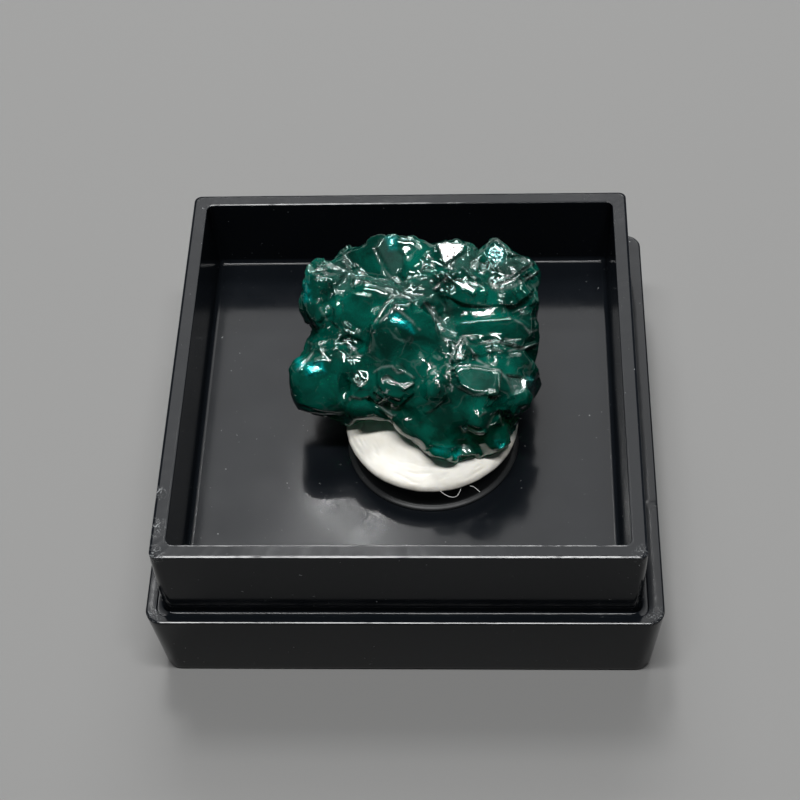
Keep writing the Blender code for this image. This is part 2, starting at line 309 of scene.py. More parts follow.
class Skin:
    """A surface as arrays: its vertices' places and normals, and how far the photograph shows them."""

    def __init__(self, mesh):
        self.mesh = mesh
        self.places = read_vectors(mesh.vertices, "co")
        self.normals = read_vectors(mesh.vertices, "normal")
        edges = np.empty(len(mesh.edges) * 2, dtype=np.int32)
        mesh.edges.foreach_get("vertices", edges)
        self.edges = edges.reshape(-1, 2)
        self.pixels = to_pixels(self.places)
        self.seen = self.softened(self.find_seen(), SOFT_SEEN_ROUNDS)
        for field in (*STORED_FIELDS, "melted"):
            setattr(self, field, np.zeros(len(self.places)))

    def find_seen(self):
        corners = [vertex.co for vertex in self.mesh.vertices]
        tree = BVHTree.FromPolygons(corners, [face.vertices for face in self.mesh.polygons])
        seen = np.zeros(len(self.places))
        for index, (place, normal) in enumerate(zip(self.places, self.normals)):
            toward = CAMERA_PLACE - Vector(place)
            start = Vector(place) + Vector(normal) * SIGHT_CLEARANCE
            if toward.dot(Vector(normal)) > 0 and tree.ray_cast(start, toward.normalized())[0] is None:
                seen[index] = 1.0
        return seen

    def softened(self, values, rounds):
        """Values averaged with those of the neighbours along the edges."""
        first, second = self.edges[:, 0], self.edges[:, 1]
        count = len(values)
        joined = np.bincount(first, minlength=count) + np.bincount(second, minlength=count)
        for _ in range(rounds):
            total = np.bincount(first, values[second], count) + np.bincount(second, values[first], count)
            values = (values + total) / (1 + joined)
        return values

    def push(self, amount):
        """Move vertices along their normals, by an amount in mm where the photograph shows them."""
        self.places += self.normals * (amount * self.seen * MM)[:, None]

    def ledge(self, points, height, reach, edge=1.0, undercut=0.25):
        """A step along a bent line of pixels. One from left to right is raised above it and sunk below."""
        signed, past = bent_line_distance(self.pixels, points)
        fade = 1 - smoothstep(0, 4, past)
        rise = smoothstep(-edge, edge, signed) * np.exp(-np.maximum(signed, 0) / reach)
        below = 1 - smoothstep(-edge, edge, signed)
        sink = undercut * below * np.exp(np.minimum(signed, 0) / (reach * 0.6))
        self.push(height * (rise - sink) * fade)

    def ridge(self, points, height, width):
        """A thin raised line, or a groove where the height is negative."""
        signed, past = bent_line_distance(self.pixels, points)
        fade = 1 - smoothstep(-1, 3, past)
        self.push(height * np.exp(-(signed / width) ** 2) * fade)

    def bulge(self, middle, radii, height, turn=0):
        """A smooth swelling, or a hollow where the height is negative."""
        angle = math.radians(turn)
        offset = self.pixels - np.array(middle, dtype=float)
        across = (offset[:, 0] * math.cos(angle) + offset[:, 1] * math.sin(angle)) / radii[0]
        down = (-offset[:, 0] * math.sin(angle) + offset[:, 1] * math.cos(angle)) / radii[1]
        spread = np.clip(1 - across**2 - down**2, 0, None)
        self.push(height * spread**1.5)

    def facet(self, points, facing, lift=0.0, feather=1.2, depth=1.0):
        """Flatten the part inside a polygon of pixels to a plane that faces a given way or mirrors a lamp."""
        inside = polygon_distance(self.pixels, points)
        weight = smoothstep(-feather, feather, inside) * self.seen * depth
        core = (inside > 0) & (self.seen > 0.5)
        if not core.any():
            return
        anchor = self.places[core].mean(axis=0)
        normal = np.array(mirror_normal(anchor, facing) if facing in LAMPS else facing, dtype=float)
        normal /= np.linalg.norm(normal)
        anchor += normal * lift * MM
        rays = self.places - np.array(CAMERA_PLACE)
        rays /= np.linalg.norm(rays, axis=1)[:, None]
        slide = ((anchor - self.places) @ normal) / (rays @ normal)
        slide = np.clip(slide, -FACET_TRAVEL, FACET_TRAVEL)
        self.places += rays * (slide * weight)[:, None]
        self.flatness = np.maximum(self.flatness, weight)

    def melt(self, middle, radii, rounds):
        """Smooth the surface inside an ellipse of pixels."""
        offset = (self.pixels - np.array(middle, dtype=float)) / np.array(radii, dtype=float)
        weight = (1 - smoothstep(0.7, 1.0, np.linalg.norm(offset, axis=1))) * self.seen
        self.melted = np.maximum(self.melted, weight)
        for _ in range(rounds):
            for axis in range(3):
                smooth = self.softened(self.places[:, axis], 1)
                self.places[:, axis] += weight * (smooth - self.places[:, axis])

    def cleave(self, spacing, strength, softness, seed):
        """Turn round shoulders into small flat faces that meet in narrow edges."""
        order = np.random.default_rng(seed).permutation(len(self.places))
        middles = []
        for index in order[:CLEAVE_TRIALS]:
            if all(np.linalg.norm(self.places[index] - self.places[other]) > spacing for other in middles):
                middles.append(index)
        tree = KDTree(len(middles))
        for number, index in enumerate(middles):
            tree.insert(self.places[index], number)
        tree.balance()
        normals = [self.softened(self.normals[:, axis], CLEAVE_NORMAL_ROUNDS) for axis in range(3)]
        normals = np.stack(normals, axis=1)
        normals /= np.linalg.norm(normals, axis=1)[:, None]
        found = [tree.find_n(place, 2) for place in self.places]
        lifts = []
        for rank in range(2):
            which = np.array(middles)[[pair[rank][1] for pair in found]]
            along = np.einsum("ij,ij->i", normals[which], self.normals)
            drop = np.einsum("ij,ij->i", self.places[which] - self.places, normals[which])
            met = drop / np.maximum(along, CLEAVE_LEAST_ALONG)
            lifts.append(np.where(along > CLEAVE_LEAST_ALONG, met, 0))
        gap = np.array([pair[1][2] - pair[0][2] for pair in found])
        share = 0.5 + 0.5 * smoothstep(0, softness, gap)
        lift = np.clip(lifts[0] * share + lifts[1] * (1 - share), -CLEAVE_TRAVEL, CLEAVE_TRAVEL)
        weight = strength * (1 - CLEAVE_CALM * self.melted)
        self.places += self.normals * (lift * weight)[:, None]

    def splinter(self, spacing, slope, seed):
        """Tilt small cells of the surface, each its own way, as broken cleavage does."""
        middles, directions = scattered_cells(self.places, spacing, seed)
        lift = self.softened(slope * np.einsum("ij,ij->i", directions, self.places - middles), 1)
        self.places += self.normals * (lift * (1 - SPLINTER_CALM * self.melted))[:, None]

    def fit_outline(self, outline, middle, steps=180, core=0.62):
        """Stretch the surface in the picture plane until its outline is the photograph's."""
        offset = self.pixels - np.array(middle, dtype=float)
        reach = np.hypot(offset[:, 0], offset[:, 1])
        turn = (np.arctan2(offset[:, 1], offset[:, 0]) / (2 * math.pi) % 1.0) * steps
        sector = turn.astype(int) % steps
        current = np.zeros(steps)
        np.maximum.at(current, sector, reach)
        wanted = np.zeros(steps)
        for index in range(steps):
            angle = (index + 0.5) * 2 * math.pi / steps
            wanted[index] = outline_reach(outline, middle, math.cos(angle), math.sin(angle))
        places = np.arange(-1, steps + 1) + 0.5
        gap = wanted - current
        gap = np.interp(turn, places, np.concatenate([gap[-1:], gap, gap[:1]]))
        edge = np.interp(turn, places, np.concatenate([current[-1:], current, current[:1]]))
        stretch = gap * smoothstep(core, 1.0, reach / edge) / reach
        depth = (np.array(CAMERA_PLACE) - self.places) @ np.array(BACK)
        scale = (stretch * depth / FOCAL_PIXELS)[:, None]
        self.places += (offset[:, :1] * np.array(RIGHT) - offset[:, 1:] * np.array(UP)) * scale

    def refresh(self):
        """Work out the normals again after the surface has moved."""
        write_places(self.mesh, self.places)
        self.normals = read_vectors(self.mesh.vertices, "normal")
        self.pixels = to_pixels(self.places)

    def frost_and_highlight(self, points, strength, width=0.8):
        """Bruise the surface white along a bent line of pixels, in broken stretches: partly real bruising,
        partly painted highlight.
        """
        signed, past = bent_line_distance(self.pixels, points)
        mark = np.exp(-(signed / width) ** 2) * (1 - smoothstep(-1, 2, past)) * strength * self.seen
        self.bruise_and_highlight = np.maximum(self.bruise_and_highlight, mark)

    def paint_field(self, field, points, strength, feather=3.0):
        """Raise a field, such as the milky veil with its painted sheen, inside a polygon of pixels."""
        inside = polygon_distance(self.pixels, points)
        values = getattr(self, field)
        values[:] = np.maximum(values, smoothstep(-feather, feather, inside) * strength * self.seen)

    def shine(self, middle, radii, strength):
        """Paint a lighter glow where light gathers inside a crystal, in an ellipse of pixels."""
        offset = (self.pixels - np.array(middle, dtype=float)) / np.array(radii, dtype=float)
        spread = np.clip(1 - (offset**2).sum(axis=1), 0, None)
        self.glow = np.maximum(self.glow, spread * strength * self.seen)

    def store(self):
        write_places(self.mesh, self.places)
        for field in STORED_FIELDS:
            layer = self.mesh.attributes.new(field, "FLOAT", "POINT")
            layer.data.foreach_set("value", getattr(self, field).astype(np.float32))


# What the photograph shows on the crystals. Places are photograph pixels, heights are mm.

OUTLINE_MIDDLE = (420, 350)
OUTLINE = (
    (298, 307), (306, 276), (308, 267), (317, 260), (338, 256), (341, 250), (350, 247), (366, 245),
    (371, 238), (385, 235), (413, 237), (434, 244), (438, 242), (452, 239), (464, 242), (478, 249),
    (490, 241), (497, 240), (506, 245), (519, 256), (531, 260), (538, 269), (539, 283), (536, 302),
    (537, 320), (539, 337), (534, 358), (539, 374), (540, 388), (533, 402), (520, 418), (513, 428),
    (510, 442), (497, 453), (473, 458), (447, 463), (434, 458), (424, 451), (403, 432), (392, 423),
    (368, 418), (343, 427), (338, 420), (301, 412), (294, 400), (290, 383), (290, 369), (299, 353),
    (312, 334), (306, 321),
)

# Feet of crystals that stand in the putty: pixel, height of the middle, half sizes
ROOTS = (
    ((366, 402), 15.0, (2.0, 2.0, 1.5)),  # left foot
    ((408, 424), 14.6, (1.9, 1.7, 1.6)),  # front foot
    ((440, 436), 14.6, (2.2, 1.8, 1.7)),  # chin foot
)

# Where crystals have grown into one smooth mass: middle, radii, rounds of smoothing
MELTED = (
    ((322, 388), (42, 44), 40),
    ((402, 352), (52, 54), 60),
    ((366, 306), (40, 34), 16),
    ((494, 328), (58, 30), 30),
    ((440, 424), (40, 34), 20),
    ((492, 436), (40, 26), 20),
    ((512, 372), (34, 30), 12),
    ((420, 255), (60, 22), 12),
    ((416, 428), (42, 26), 40),
    ((374, 404), (44, 22), 40),
)

# Swellings and hollows: middle, radii, turn in degrees, height
BULGES = (
    ((364, 304), (38, 30), 0, 0.45),  # block face
    ((318, 386), (36, 38), 0, 0.40),  # left lobe
    ((315, 290), (13, 34), 0, 0.25),  # left lump
    ((398, 350), (34, 46), 0, 0.45),  # belly
    ((432, 362), (18, 40), 0, 0.30),  # belly right
    ((474, 297), (34, 15), 8, 0.35),  # breast left
    ((519, 292), (22, 13), -15, 0.30),  # breast right
    ((494, 328), (52, 17), 0, 0.35),  # under breasts
    ((508, 364), (17, 13), 0, 0.30),  # arc lobe left
    ((528, 360), (12, 16), 0, 0.25),  # arc lobe right
    ((516, 402), (24, 18), 0, 0.30),  # right lobe
    ((440, 421), (24, 20), 0, 0.35),  # round lobe
    ((488, 442), (32, 16), 0, 0.30),  # low lobe
    ((446, 453), (18, 10), 0, 0.20),  # toe lobe
    ((364, 408), (30, 16), 15, 0.45),  # left chin
    ((404, 428), (22, 14), 35, 0.35),  # over putty
    ((328, 302), (7, 30), -4, -0.45),  # gully left
    ((352, 345), (22, 10), 20, -0.35),  # gully under block
    ((444, 338), (8, 24), -10, -0.35),  # hollow by spire
    ((500, 345), (34, 7), 4, -0.25),  # hollow right
    ((392, 410), (26, 8), 15, -0.30),  # hollow under button
    ((346, 392), (8, 20), -10, -0.30),  # hollow left low
)

# Flat faces: outline, the lamp that the face mirrors or a direction, lift, and strength
FACETS = (
    # under breast
    (((454, 322), (500, 319), (532, 311), (534, 338), (500, 343), (470, 345), (458, 338)),
     (0.02, -0.80, 0.60), 0.0, 0.9),
    # block face
    (((342, 300), (352, 292), (372, 296), (371, 322), (360, 332), (344, 322)),
     (-0.08, -0.80, 0.60), 0.05, 0.8),
    # dark top left
    (((343, 255), (349, 249), (365, 247), (374, 249), (384, 271), (390, 279), (362, 280), (353, 276)),
     (-0.30, -0.62, 0.72), 0.0, 1.0),
    # veiled top
    (((376, 247), (381, 239), (389, 238), (397, 250), (404, 255), (401, 268), (394, 277)),
     (0.32, -0.60, 0.74), 0.1, 1.0),
    # white top
    (((435, 243), (443, 242), (456, 242), (466, 244), (465, 251), (444, 266)), "facet_lamp", 0.1, 1.0),
    # teal top
    (((487, 248), (497, 244), (504, 250), (503, 261), (494, 264), (487, 257)),
     (0.10, -0.45, 0.88), 0.05, 1.0),
    (((452, 281), (458, 280), (478, 289), (474, 296), (453, 284)), "facet_lamp", 0.12, 1.0),  # white band
    # smile left
    (((450, 298), (462, 304), (481, 307), (500, 307), (491, 316), (477, 318), (466, 312)),
     "facet_lamp", -0.12, 1.0),
    # smile right
    (((505, 306), (515, 306), (532, 293), (535, 298), (524, 306), (510, 312)), "facet_lamp", -0.1, 1.0),
    # above crest
    (((400, 284), (414, 278), (432, 276), (440, 288), (430, 298), (404, 294)), (0.05, -0.70, 0.71), 0.0, 0.8),
    (((411, 303), (418, 299), (423, 303), (421, 311), (413, 312)), "facet_lamp", 0.0, 1.0),  # crest blob
    (((376, 321), (385, 304), (395, 298), (393, 307), (382, 320)), "facet_lamp", 0.0, 0.8),  # crest left
    (((424, 303), (428, 303), (446, 330), (441, 332)), "facet_lamp", 0.0, 0.8),  # crest right
    # cyan patch
    (((389, 315), (396, 316), (407, 322), (406, 326), (398, 324), (390, 320)), "facet_lamp", 0.0, 1.0),
    (((304, 366), (320, 363), (323, 371), (309, 375)), "facet_lamp", 0.0, 1.0),  # lobe flash
    (((387, 239), (395, 238), (396, 245), (390, 247)), "facet_lamp", 0.0, 1.0),  # top flash
    (((497, 442), (505, 442), (505, 448), (499, 449)), "facet_lamp", 0.0, 1.0),  # right low flash
    (((452, 362), (454, 347), (463, 337), (465, 360)), "facet_lamp", 0.1, 1.0),  # spire left
    (((465, 338), (476, 359), (466, 361)), (0.55, -0.75, 0.35), 0.0, 1.0),  # spire right
    # table
    (((455, 371), (462, 367), (484, 369), (498, 373), (497, 391), (474, 393), (461, 386)),
     (0.0, -0.22, 0.975), 0.0, 1.0),
    (((507, 375), (520, 377), (534, 380), (531, 388), (513, 394)), "facet_lamp", 0.0, 1.0),  # speckled
    # button face
    (((377, 370), (390, 367), (404, 373), (411, 385), (400, 400), (385, 395), (377, 385)),
     (0.05, -0.55, 0.83), 0.12, 0.8),
    (((347, 379), (355, 378), (361, 388)), "facet_lamp", 0.08, 1.0),  # small white
    (((358, 371), (368, 370), (369, 381), (361, 380)), (0.1, -0.35, 0.93), 0.05, 1.0),  # grey left
    (((352, 278), (361, 278), (363, 284), (354, 286)), "facet_lamp", 0.05, 1.0),  # blob left
    (((318, 266), (323, 265), (324, 271), (319, 272)), "facet_lamp", 0.05, 0.7),  # lump high
    (((309, 274), (315, 273), (318, 300), (310, 304)), (-0.35, -0.70, 0.62), 0.0, 0.8),  # left lump face
    (((487, 427), (491, 417), (499, 410), (502, 424)), "facet_lamp", 0.08, 1.0),  # low white
    (((458, 441), (466, 440), (476, 456), (462, 456)), (0.1, -0.4, 0.9), 0.05, 1.0),  # low grey
    (((506, 419), (516, 417), (522, 424), (511, 426)), (0.3, -0.3, 0.9), 0.05, 1.0),  # edge grey
    (((449, 452), (460, 450), (465, 455), (455, 458)), "facet_lamp", 0.03, 1.0),  # toe glint
)

# Narrow bright faces along edges, which mirror the facet lamp: outlines
BANDS = (
    ((490, 284), (498, 290), (515, 286), (528, 278), (539, 272), (538, 269), (526, 275), (513, 282),
     (499, 286), (493, 281)),
    ((498, 283), (510, 279), (533, 261), (534, 265), (512, 283), (500, 287)),
    ((369, 396), (380, 405), (394, 415), (392, 418), (378, 409), (367, 400)),
    ((500, 341), (521, 347), (536, 342), (537, 345), (521, 351), (500, 345)),
    ((382, 378), (388, 376), (404, 386), (413, 381), (414, 385), (404, 391), (387, 380), (383, 382)),
    ((468, 425), (485, 430), (485, 434), (476, 433), (468, 429)),
    ((433, 288), (446, 276), (449, 278), (436, 291)),
    ((317, 349), (320, 347), (332, 360), (329, 362)),
    ((297, 369), (311, 352), (314, 354), (300, 372)),
    ((375, 322), (385, 304), (395, 297), (396, 300), (388, 305), (378, 323)),
    ((421, 258), (424, 257), (426, 265), (422, 271), (420, 269)),
    ((344, 254), (347, 253), (350, 264), (347, 265)),
    ((451, 369), (458, 364), (472, 364), (472, 367), (459, 367), (453, 371)),
    ((451, 360), (455, 345), (462, 336), (464, 338), (457, 347), (454, 361)),
    ((507, 256), (518, 255), (532, 260), (531, 263), (517, 258), (508, 259)),
)
BAND_FEATHER = 0.6
BAND_LIFT = 0.02

# Steps: raised above a line that runs from left to right, and below one that runs from right to left. Points,
# height, reach in pixels
LEDGES = (
    (((401, 295), (392, 280), (357, 282)), 0.16, 9),  # block top
    (((375, 322), (385, 304), (395, 297), (403, 297), (411, 300)), -0.18, 6),  # crest
    (((334, 323), (343, 332), (362, 340)), 0.2, 8),  # gully wall
    (((490, 283), (498, 290), (515, 286), (528, 278), (538, 272)), 0.2, 8),  # double line low
    (((497, 285), (510, 281), (533, 263)), 0.14, 5),  # double line high
    (((448, 297), (462, 303), (481, 306), (501, 306)), 0.22, 9),  # smile left rim
    (((503, 306), (515, 305), (532, 292)), 0.2, 8),  # smile right rim
    (((500, 342), (521, 349), (536, 344)), 0.18, 7),  # right arc
    (((493, 349), (505, 352), (517, 349)), 0.14, 5),  # right arc low
    (((459, 388), (474, 396), (498, 394), (501, 372)), 0.22, 8),  # table edge
    (((376, 392), (388, 399), (400, 405), (412, 394)), 0.25, 8),  # button low
    (((347, 402), (352, 397), (361, 399), (369, 397), (393, 415)), 0.22, 8),  # lower left ridge
    (((427, 413), (434, 409), (442, 402)), 0.12, 6),  # chin line
    (((468, 427), (476, 431), (485, 432)), 0.18, 6),  # low right
    (((421, 258), (427, 266), (433, 269)), 0.14, 5),  # upper loop
    (((472, 266), (478, 270), (484, 273)), 0.14, 5),  # upper steps
    (((300, 404), (320, 410), (340, 412)), 0.14, 8),  # lobe foot
    (((432, 446), (445, 449), (460, 447)), 0.14, 6),  # toe step
)

# Bruised lines along edges, their white partly painted highlight: points, height of the line
GLINT_LINES = (
    (((343, 253), (347, 263), (353, 278)), 0.10),  # top left chain
    (((357, 282), (375, 281), (392, 280)), 0.08),  # block edge
    (((374, 248), (380, 262), (385, 271), (393, 279)), 0.10),  # veiled edge
    (((375, 322), (385, 304), (395, 297), (403, 297)), 0.14),  # crest outer
    (((379, 323), (394, 308), (400, 311), (413, 322), (420, 330)), 0.12),  # crest inner
    (((424, 302), (434, 316), (445, 331)), 0.12),  # crest right a
    (((429, 304), (439, 317), (446, 327)), 0.10),  # crest right b
    (((434, 289), (440, 283), (447, 277)), 0.14),  # upper bar
    (((421, 258), (424, 264), (421, 271)), 0.10),  # loop a
    (((426, 256), (432, 259), (433, 268)), 0.10),  # loop b
    (((490, 283), (498, 290), (515, 286), (528, 278), (538, 272)), 0.12),  # double line
    (((497, 285), (510, 281), (533, 263)), 0.10),  # double line top
    (((500, 342), (508, 344), (521, 349), (536, 344)), 0.12),  # right arc
    (((505, 339), (512, 341), (516, 345)), 0.10),  # right arc mid
    (((493, 349), (505, 352), (517, 349)), 0.10),  # right arc low
    (((451, 370), (458, 365), (472, 365), (484, 367), (499, 370), (508, 381)), 0.12),  # table back
    (((450, 362), (455, 347), (463, 336), (470, 347), (477, 360), (490, 367)), 0.14),  # spire edge
    (((459, 387), (474, 395), (486, 393)), 0.10),  # table front
    (((374, 372), (382, 367), (392, 366), (398, 373), (405, 371), (414, 378)), 0.10),  # button rim
    (((382, 379), (387, 377), (396, 383), (404, 388), (414, 383)), 0.10),  # button line
    (((347, 402), (352, 397), (361, 399), (369, 397)), 0.12),  # lower left a
    (((369, 397), (380, 406), (393, 416)), 0.14),  # lower left b
    (((313, 353), (307, 361), (298, 370)), 0.10),  # streak a
    (((318, 348), (324, 356), (330, 361)), 0.10),  # streak b
    (((307, 341), (314, 346)), 0.08),  # streak c
    (((318, 299), (321, 310), (327, 320)), 0.10),  # left chain
    (((427, 413), (434, 409), (442, 402)), 0.08),  # chin line
    (((468, 427), (476, 431), (485, 432)), 0.12),  # low right a
    (((487, 427), (492, 417), (498, 410), (503, 425)), 0.12),  # low right b
    (((480, 416), (486, 412)), 0.10),  # low right c
    (((531, 319), (536, 318)), 0.08),  # right edge a
    (((529, 333), (537, 330)), 0.08),  # right edge b
    (((515, 320), (522, 324), (529, 332)), 0.08),  # right edge c
    (((349, 357), (353, 348), (359, 356), (350, 357)), 0.08),  # triangle a
    (((472, 266), (484, 273)), 0.08),  # upper steps a
    (((467, 270), (476, 277)), 0.08),  # upper steps b
    (((478, 248), (489, 241), (498, 240), (507, 250), (517, 256)), 0.08),  # top right a
)

# Milky patches with painted sheen, a pale grey-green where faces mirror the ceiling: outline, strength
MILKY_AND_SHEEN_PATCHES = (
    # veiled top
    (((376, 247), (381, 239), (389, 238), (397, 250), (404, 255), (401, 268), (394, 277)), 0.35),
    (((334, 262), (348, 262), (350, 291), (334, 291)), 0.25),  # block strip
    (((375, 282), (392, 281), (401, 296), (380, 296)), 0.35),  # block right
    (((400, 285), (430, 275), (440, 300), (420, 304), (403, 297)), 0.18),  # crest top
    (((500, 258), (518, 256), (532, 262), (520, 272), (500, 272)), 0.35),  # top right
    (((444, 266), (465, 251), (478, 250), (476, 264), (455, 272)), 0.30),  # white dome
    (((460, 371), (498, 373), (497, 391), (474, 393), (461, 386)), 0.12),  # table
    (((507, 375), (534, 380), (531, 388), (513, 394)), 0.55),  # speckled
    (((444, 300), (452, 300), (450, 360), (440, 350)), 0.15),  # crease
    (((458, 441), (466, 440), (476, 456), (462, 456)), 0.35),  # low grey
    (((384, 422), (400, 426), (411, 436), (402, 434)), 0.55),  # over putty
)

# Crushed patches whose tiny white flecks are partly painted glints: outlines
SPECKLED = (
    ((507, 375), (534, 380), (531, 388), (513, 394)),
    ((498, 268), (514, 267), (514, 278), (500, 278)),
    ((428, 364), (440, 367), (438, 386), (428, 384)),
    ((317, 262), (329, 262), (328, 285), (315, 284)),
    ((376, 388), (389, 388), (389, 398), (377, 398)),
    ((455, 343), (466, 340), (468, 360), (452, 361)),
    ((466, 300), (500, 306), (491, 317), (475, 318)),
    ((438, 243), (466, 244), (464, 252), (446, 266)),
)

SPECKLE_STRENGTH = 0.65

# Painted reflections: bright blue-green flashes inside the crystals, painted into the surface colour:
# outline, strength
CYAN_GLOWS = (
    # belly flash
    (((389, 314), (398, 314), (409, 322), (414, 333), (406, 328), (398, 324), (390, 321)), 1.0),
    (((303, 364), (322, 362), (325, 372), (308, 377)), 0.9),  # lobe flash
    (((296, 360), (301, 356), (303, 366), (297, 372)), 0.6),  # lobe edge
    (((386, 237), (396, 237), (397, 249), (389, 250)), 0.6),  # top flash
    (((487, 248), (497, 243), (504, 250), (503, 262), (494, 266), (486, 257)), 0.3),  # teal top
    (((432, 447), (460, 447), (461, 460), (440, 461)), 0.5),  # toe flash
    (((496, 441), (507, 441), (507, 449), (498, 450)), 0.7),  # right low flash
    (((527, 377), (536, 377), (536, 390), (529, 390)), 0.5),  # right edge flash
    (((303, 283), (309, 280), (311, 300), (304, 303)), 0.5),  # left edge flash
)

# Painted glow, a lighter colour where light gathers inside the crystals: middle, radii, strength
GLOWS = (
    ((354, 308), (34, 30), 0.75),  # block
    ((320, 386), (34, 34), 0.75),  # left lobe
    ((312, 292), (16, 34), 0.5),  # left lump
    ((474, 300), (36, 16), 0.6),  # breast
    ((478, 322), (44, 16), 0.6),  # under breast
    ((520, 292), (22, 16), 0.5),  # breast right
    ((392, 386), (24, 20), 0.4),  # button
    ((446, 454), (24, 14), 0.9),  # toe
    ((516, 402), (26, 20), 0.5),  # right lobe
    ((428, 376), (14, 30), 0.5),  # pillar
    ((412, 258), (26, 16), 0.5),  # top
)

# A glint line stands up as a ridge by a share of its height. Its white bruise, partly painted highlight,
# grows with its height, too.
RIDGE_SHARE = 0.25
RIDGE_WIDTH = 0.9
FROST_AND_HIGHLIGHT_SHARE = 6.5
BREAK_LENGTH = 0.8 * MM

# Small flat faces everywhere: spacing, strength, width of the edges between them, seed
CLEAVAGE = (
    (2.4 * MM, 0.85, 0.22 * MM, 5),
)
CLEAVE_TRIALS = 5000
CLEAVE_NORMAL_ROUNDS = 12
CLEAVE_LEAST_ALONG = 0.4
CLEAVE_TRAVEL = 0.2 * MM
CLEAVE_CALM = 0.88

# Smaller tilted faces everywhere: spacing, slope, seed
SPLINTERS = ((1.5 * MM, 0.10, 31),)
SPLINTER_CALM = 0.95

# Fine relief everywhere: size of the lumps and their height
RELIEF = ((2.2 * MM, 0.020), (0.9 * MM, 0.007), (0.35 * MM, 0.002))


def add_fine_relief(skin):
    """Low ripples over the whole surface, also where the photograph doesn't show it."""
    relief = np.zeros(len(skin.places))
    for seed, (scale, height) in enumerate(RELIEF, start=1):
        relief += height * noise_field(skin.places, scale, seed)
    relief *= 1 - 0.8 * skin.flatness
    skin.places += skin.normals * (relief * MM)[:, None]


def sculpt_crystals(skin):
    for middle, radii, rounds in MELTED:
        skin.melt(middle, radii, rounds)
    skin.refresh()
    for middle, radii, turn, height in BULGES:
        skin.bulge(middle, radii, height, turn)
    skin.refresh()
    for spacing, strength, softness, seed in CLEAVAGE:
        skin.cleave(spacing, strength, softness, seed)
        skin.refresh()
    for spacing, slope, seed in SPLINTERS:
        skin.splinter(spacing, slope, seed)
    skin.refresh()
    for points, height, reach in LEDGES:
        skin.ledge(points, height, reach)
    skin.refresh()
    for points, facing, lift, strength in FACETS:
        skin.facet(points, facing, lift, depth=strength)
    for points in BANDS:
        skin.facet(points, "facet_lamp", BAND_LIFT, BAND_FEATHER)
    skin.refresh()
    for points, height in GLINT_LINES:
        skin.ridge(points, height * RIDGE_SHARE, RIDGE_WIDTH)
        skin.frost_and_highlight(points, height * FROST_AND_HIGHLIGHT_SHARE)
    broken = smoothstep(-0.4, 0.0, noise_field(skin.places, BREAK_LENGTH, 7))
    skin.bruise_and_highlight *= broken
    for points, strength in MILKY_AND_SHEEN_PATCHES:
        skin.paint_field("veil_and_sheen", points, strength)
    for points, strength in CYAN_GLOWS:
        skin.paint_field("cyan", points, strength)
    for points in SPECKLED:
        skin.paint_field("speckle", points, SPECKLE_STRENGTH)
    for middle, radii, strength in GLOWS:
        skin.shine(middle, radii, strength)
    skin.refresh()
    add_fine_relief(skin)


def add_remesh(piece):
    even = piece.modifiers.new("even_mesh", "REMESH")
    even.mode = "VOXEL"
    even.voxel_size = CRYSTAL_VOXEL


def add_swell(piece, distance):
    """Move the surface outwards. Swelling, remeshing and shrinking back fills the narrow crevices."""
    swell = piece.modifiers.new("swell", "DISPLACE")
    swell.direction = "NORMAL"
    swell.mid_level = 0.0
    swell.strength = distance


def add_roots(mesh):
    """Fill out the feet of the crystals where they sink into the putty."""
    bm = bmesh.new()
    bm.from_mesh(mesh)
    for pixel, height, radii in ROOTS:
        middle = pixel_on_level(*pixel, height * MM)
        bmesh.ops.create_icosphere(
            bm, subdivisions=3, radius=1.0,
            matrix=Matrix.Translation(middle) @ Matrix.Diagonal((*[radius * MM for radius in radii], 1.0)),
        )
    bm.to_mesh(mesh)
    bm.free()


def make_crystals(material):
    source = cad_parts["dioptase_cluster"]
    piece = add_object("dioptase_crystals", source.data.copy(), material)
    add_roots(piece.data)
    add_remesh(piece)
    for distance in (CREVICE_FILL, -CREVICE_FILL - EDGE_ROUNDING, EDGE_ROUNDING):
        add_swell(piece, distance)
        add_remesh(piece)
    soft = piece.modifiers.new("rounded_edges", "SMOOTH")
    soft.factor = 0.5
    soft.iterations = EDGE_SMOOTHING
    settle_modifiers(piece)
    skin = Skin(piece.data)
    skin.fit_outline(OUTLINE, OUTLINE_MIDDLE)
    skin.refresh()
    sculpt_crystals(skin)
    skin.store()
    piece.data.shade_smooth()
    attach(piece, "root")
    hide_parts("dioptase_cluster")


def node_material(name):
    """A new material, its node tree and its Principled shader."""
    material = bpy.data.materials.new(name)
    material.use_nodes = True
    tree = material.node_tree
    return material, tree, tree.nodes["Principled BSDF"]


def add_node(tree, kind, inputs=(), **settings):
    """Add a node. Inputs are pairs of a socket and a value, or a socket of another node to link."""
    node = tree.nodes.new(kind)
    for key, value in settings.items():
        setattr(node, key, value)
    for socket, value in inputs:
        if isinstance(value, bpy.types.NodeSocket):
            tree.links.new(value, node.inputs[socket])
        else:
            node.inputs[socket].default_value = value
    return node


def object_coordinates(tree):
    return add_node(tree, "ShaderNodeTexCoord").outputs["Object"]


def noise_value(tree, scale, detail=3.0, roughness=0.5, distortion=0.0):
    node = add_node(
        tree, "ShaderNodeTexNoise",
        (("Vector", object_coordinates(tree)), ("Scale", scale), ("Detail", detail), ("Roughness", roughness),
         ("Distortion", distortion)),
    )
    return node.outputs["Fac"]


def remap(tree, value, from_low, from_high, to_low, to_high):
    node = add_node(
        tree, "ShaderNodeMapRange",
        (("Value", value), ("From Min", from_low), ("From Max", from_high), ("To Min", to_low),
         ("To Max", to_high)),
    )
    return node.outputs["Result"]


